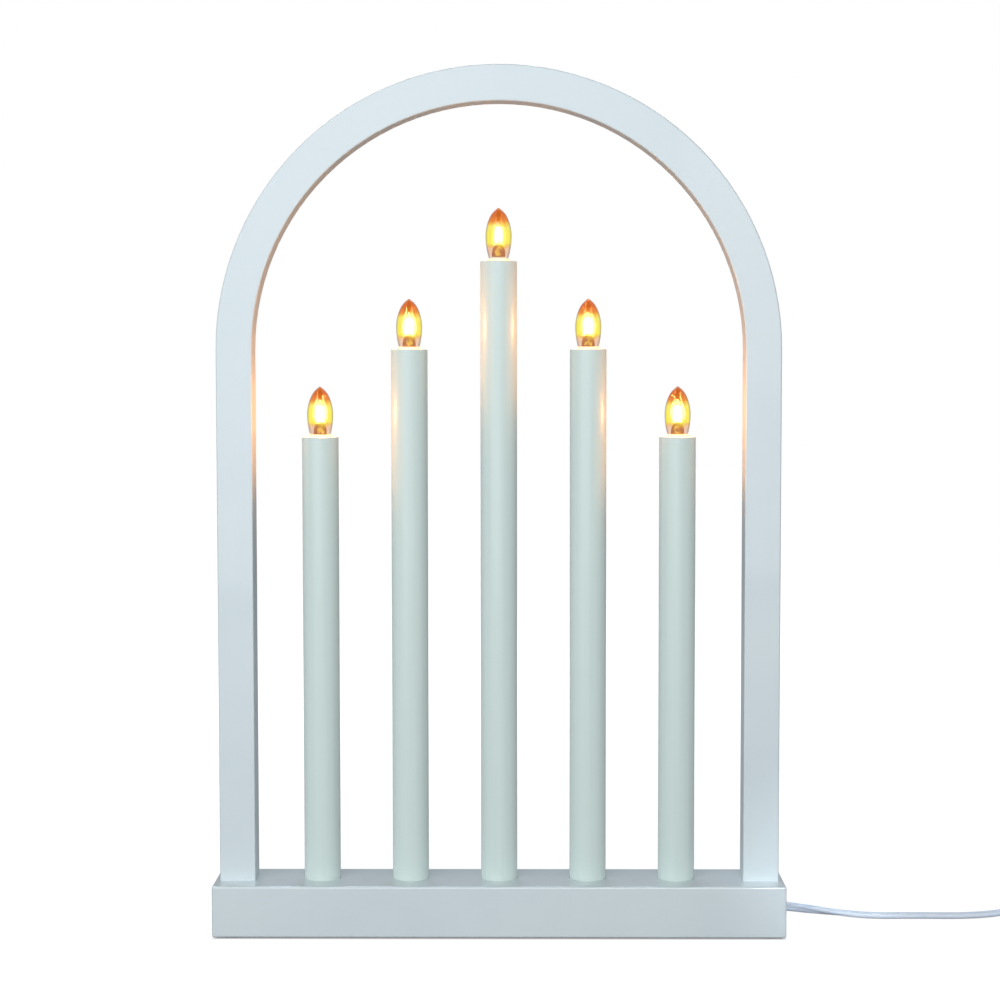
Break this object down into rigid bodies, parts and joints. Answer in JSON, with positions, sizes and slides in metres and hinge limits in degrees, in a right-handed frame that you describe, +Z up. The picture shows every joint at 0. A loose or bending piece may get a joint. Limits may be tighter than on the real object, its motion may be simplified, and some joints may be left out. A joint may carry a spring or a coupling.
{
  "type": "candle arch",
  "caption": "Free-standing electric candle arch: a long base block, a tall round-topped arch board and stepped candle tubes with screw lamps on a mains flex.",
  "frame": {"origin": "centre of the base block's footprint, on the surface that it stands on", "axes": "+X to the right along the base, +Y to the back, +Z up"},
  "size_m": [0.7226, 0.1181, 0.55],
  "materials": {
    "lacquered_mdf": "white satin lacquer sprayed on MDF",
    "fibreboard": "bare brown hardboard",
    "beech_dowel": "plain beech",
    "zinc_screw": "bright zinc plate",
    "white_felt": "pressed felt",
    "white_tube": "white lacquered tube, satin to gloss",
    "white_holder": "moulded cream-white holder",
    "brass_shell": "stamped brass",
    "lamp_glass": "clear blown glass, glowing",
    "lamp_cap": "rolled brass cap",
    "lamp_stem": "pressed glass stem",
    "lamp_filament": "coiled tungsten, glowing",
    "wire_pvc": "thin white PVC wire",
    "white_nylon": "moulded white polyamide",
    "white_flex": "flat white PVC flex",
    "white_pvc": "moulded white soft PVC",
    "white_abs": "moulded white ABS",
    "nickel_pin": "nickel-plated brass"
  },
  "bodies": {
    "stand": {"base_block": "lacquered_mdf", "bottom_cover": "fibreboard", "cover_screws": "zinc_screw", "felt_feet": "white_felt", "arch_board": "lacquered_mdf", "leg_dowels": "beech_dowel", "leg_screws": "zinc_screw", "centre_contacts": "brass_shell", "lamp_wires": "wire_pvc", "terminal_block": "white_nylon", "cable_block": "white_nylon", "cable_block_screws": "zinc_screw", "inner_flex": "white_flex", "strain_relief": "white_pvc", "flex_lead": "white_flex", "switch_base": "white_abs", "switch_cover": "white_abs", "switch_screws": "zinc_screw", "flex_link": "white_flex", "flex_coil": "white_flex", "coil_tie": "white_pvc", "flex_tail": "white_flex", "plug_body": "white_pvc", "plug_pins": "nickel_pin", "candle_tube_1": "white_tube", "lamp_holder_1": "white_holder", "socket_shell_1": "brass_shell", "candle_tube_2": "white_tube", "lamp_holder_2": "white_holder", "socket_shell_2": "brass_shell", "candle_tube_3": "white_tube", "lamp_holder_3": "white_holder", "socket_shell_3": "brass_shell", "candle_tube_4": "white_tube", "lamp_holder_4": "white_holder", "socket_shell_4": "brass_shell", "candle_tube_5": "white_tube", "lamp_holder_5": "white_holder", "socket_shell_5": "brass_shell"},
    "bulb_1": {"bulb_glass_1": "lamp_glass", "bulb_cap_1": "lamp_cap", "bulb_stem_1": "lamp_stem", "bulb_filament_1": "lamp_filament"},
    "bulb_2": {"bulb_glass_2": "lamp_glass", "bulb_cap_2": "lamp_cap", "bulb_stem_2": "lamp_stem", "bulb_filament_2": "lamp_filament"},
    "bulb_3": {"bulb_glass_3": "lamp_glass", "bulb_cap_3": "lamp_cap", "bulb_stem_3": "lamp_stem", "bulb_filament_3": "lamp_filament"},
    "bulb_4": {"bulb_glass_4": "lamp_glass", "bulb_cap_4": "lamp_cap", "bulb_stem_4": "lamp_stem", "bulb_filament_4": "lamp_filament"},
    "bulb_5": {"bulb_glass_5": "lamp_glass", "bulb_cap_5": "lamp_cap", "bulb_stem_5": "lamp_stem", "bulb_filament_5": "lamp_filament"},
    "rocker": {"switch_rocker": "white_abs"}
  },
  "joints": [
    {"name": "bulb_1_unscrew", "type": "hinge", "parent": "stand", "child": "bulb_1", "pos_m": [-0.11345, 0.0017, 0.31689], "axis": [0, 0, 1], "range_deg": [0, 1440]},
    {"name": "bulb_2_unscrew", "type": "hinge", "parent": "stand", "child": "bulb_2", "pos_m": [-0.05672, 0.0017, 0.37229], "axis": [0, 0, 1], "range_deg": [0, 1440]},
    {"name": "bulb_3_unscrew", "type": "hinge", "parent": "stand", "child": "bulb_3", "pos_m": [0, 0.0017, 0.42769], "axis": [0, 0, 1], "range_deg": [0, 1440]},
    {"name": "bulb_4_unscrew", "type": "hinge", "parent": "stand", "child": "bulb_4", "pos_m": [0.05672, 0.0017, 0.37229], "axis": [0, 0, 1], "range_deg": [0, 1440]},
    {"name": "bulb_5_unscrew", "type": "hinge", "parent": "stand", "child": "bulb_5", "pos_m": [0.11345, 0.0017, 0.31689], "axis": [0, 0, 1], "range_deg": [0, 1440]},
    {"name": "rocker_tilt", "type": "hinge", "parent": "stand", "child": "rocker", "pos_m": [0.376, 0.03, 0.0115], "axis": [0, 1, 0], "range_deg": [-16, 0]}
  ]
}
